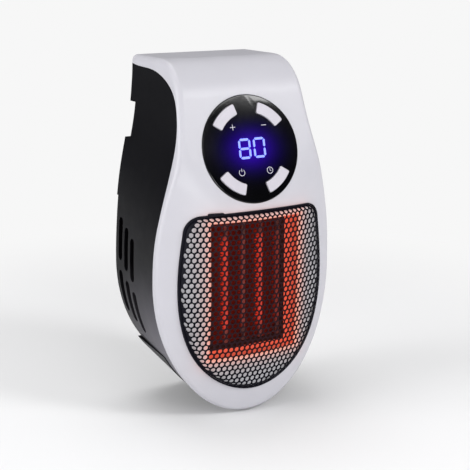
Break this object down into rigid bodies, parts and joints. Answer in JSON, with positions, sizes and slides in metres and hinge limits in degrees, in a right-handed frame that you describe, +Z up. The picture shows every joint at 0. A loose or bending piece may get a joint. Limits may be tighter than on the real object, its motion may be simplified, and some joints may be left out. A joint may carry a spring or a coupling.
{
  "type": "ceramic heater",
  "caption": "Plug-in ceramic fan heater, egg-shaped, with a perforated grille, a tilted control disc, a turning plug, a fan and a rocker switch.",
  "frame": {"origin": "on the wall plane, on the turning axis of the plug", "axes": "+Y into the wall along the plug's axis, -Y towards the room, +Z up, +X to the viewer's right"},
  "size_m": [0.1018, 0.09, 0.1813],
  "materials": {
    "cover_white": "smooth moulded, soft gloss",
    "casing_black": "smooth moulded, semi gloss",
    "plate_black": "fine mould texture",
    "grille_metal": "dark satin coat",
    "duct_white": "heat resistant, matt",
    "heater_black": "heat resistant, matt",
    "bar_glow": "bare",
    "fins": "bare, thin strip",
    "fan_black": "moulded",
    "motor_steel": "plated can",
    "panel_black": "clear gloss",
    "button_grey": "moulded, light grey",
    "board_green": "solder mask",
    "component_black": "moulded",
    "display_black": "clear window",
    "relay_blue": "moulded",
    "capacitor_yellow": "dipped box",
    "capacitor_sleeve": "shrink sleeve",
    "terminal_green": "moulded",
    "plug_black": "moulded",
    "brass": "bare",
    "blade_metal": "plated, bright",
    "rocker_black": "gloss",
    "cutout_metal": "bare",
    "fuse_white": "white body",
    "screw_steel": "zinc plated",
    "lead_white": "silicone sleeve",
    "lead_black": "soft sleeve",
    "lead_red": "soft sleeve"
  },
  "bodies": {
    "casing": {"air_duct": "duct_white", "bottom_plate": "plate_black", "bottom_plate_screws": "screw_steel", "buzzer": "component_black", "casing_screws": "screw_steel", "contact_carrier": "component_black", "contact_carrier_screws": "screw_steel", "control_board": "board_green", "control_board_screws": "screw_steel", "control_panel": "panel_black", "duct_screws": "screw_steel", "fan_motor": "motor_steel", "fan_shroud": "fan_black", "filter_capacitor": "capacitor_yellow", "fin_strip_1": "fins", "fin_strip_2": "fins", "fin_strip_3": "fins", "fin_strip_4": "fins", "front_cover": "cover_white", "grille": "grille_metal", "grille_frame": "grille_metal", "heater_frame": "heater_black", "heater_leads": "lead_white", "ir_receiver": "component_black", "led_display": "display_black", "line_spring": "brass", "mains_leads": "lead_black", "motor_leads": "lead_red", "neutral_spring": "brass", "power_board": "board_green", "power_board_screws": "screw_steel", "ptc_bar_1": "bar_glow", "ptc_bar_2": "bar_glow", "ptc_bar_3": "bar_glow", "ptc_bar_4": "bar_glow", "ptc_bar_5": "bar_glow", "rear_casing": "casing_black", "relay": "relay_blue", "smoothing_capacitor": "capacitor_sleeve", "switch_body": "plate_black", "switch_leads": "lead_black", "tact_switches": "component_black", "terminal_block": "terminal_green", "thermal_cutout": "cutout_metal", "thermal_fuse": "fuse_white"},
    "plug": {"plug_disc": "plug_black", "plug_retainer": "plug_black", "line_blade": "blade_metal", "neutral_blade": "blade_metal", "line_slip_ring": "brass", "neutral_slip_ring": "brass"},
    "fan": {"fan_rotor": "fan_black", "motor_shaft": "motor_steel"},
    "rocker": {"switch_rocker": "rocker_black"},
    "temp_down_key": {"temp_down_button": "button_grey"},
    "temp_up_key": {"temp_up_button": "button_grey"},
    "power_key": {"power_button": "button_grey"},
    "timer_key": {"timer_button": "button_grey"}
  },
  "joints": [
    {"name": "plug_turn", "type": "hinge", "parent": "casing", "child": "plug", "pos_m": [0, 0, 0], "axis": [0, 1, 0], "range_deg": [-90, 90]},
    {"name": "fan_spin", "type": "hinge", "parent": "casing", "child": "fan", "pos_m": [0, -0.03, -0.08025], "axis": [0, 1, 0], "continuous": true},
    {"name": "rocker_tilt", "type": "hinge", "parent": "casing", "child": "rocker", "pos_m": [0, -0.02342, -0.14466], "axis": [1, 0, 0], "range_deg": [-18, 0]},
    {"name": "temp_down_press", "type": "slide", "parent": "casing", "child": "temp_down_key", "axis": [0, 0.9598, -0.2807], "range_m": [0, 0.0004], "stiffness_N_per_m": 5000},
    {"name": "temp_up_press", "type": "slide", "parent": "casing", "child": "temp_up_key", "axis": [0, 0.9598, -0.2807], "range_m": [0, 0.0004], "stiffness_N_per_m": 5000},
    {"name": "power_press", "type": "slide", "parent": "casing", "child": "power_key", "axis": [0, 0.9598, -0.2807], "range_m": [0, 0.0004], "stiffness_N_per_m": 5000},
    {"name": "timer_press", "type": "slide", "parent": "casing", "child": "timer_key", "axis": [0, 0.9598, -0.2807], "range_m": [0, 0.0004], "stiffness_N_per_m": 5000}
  ]
}
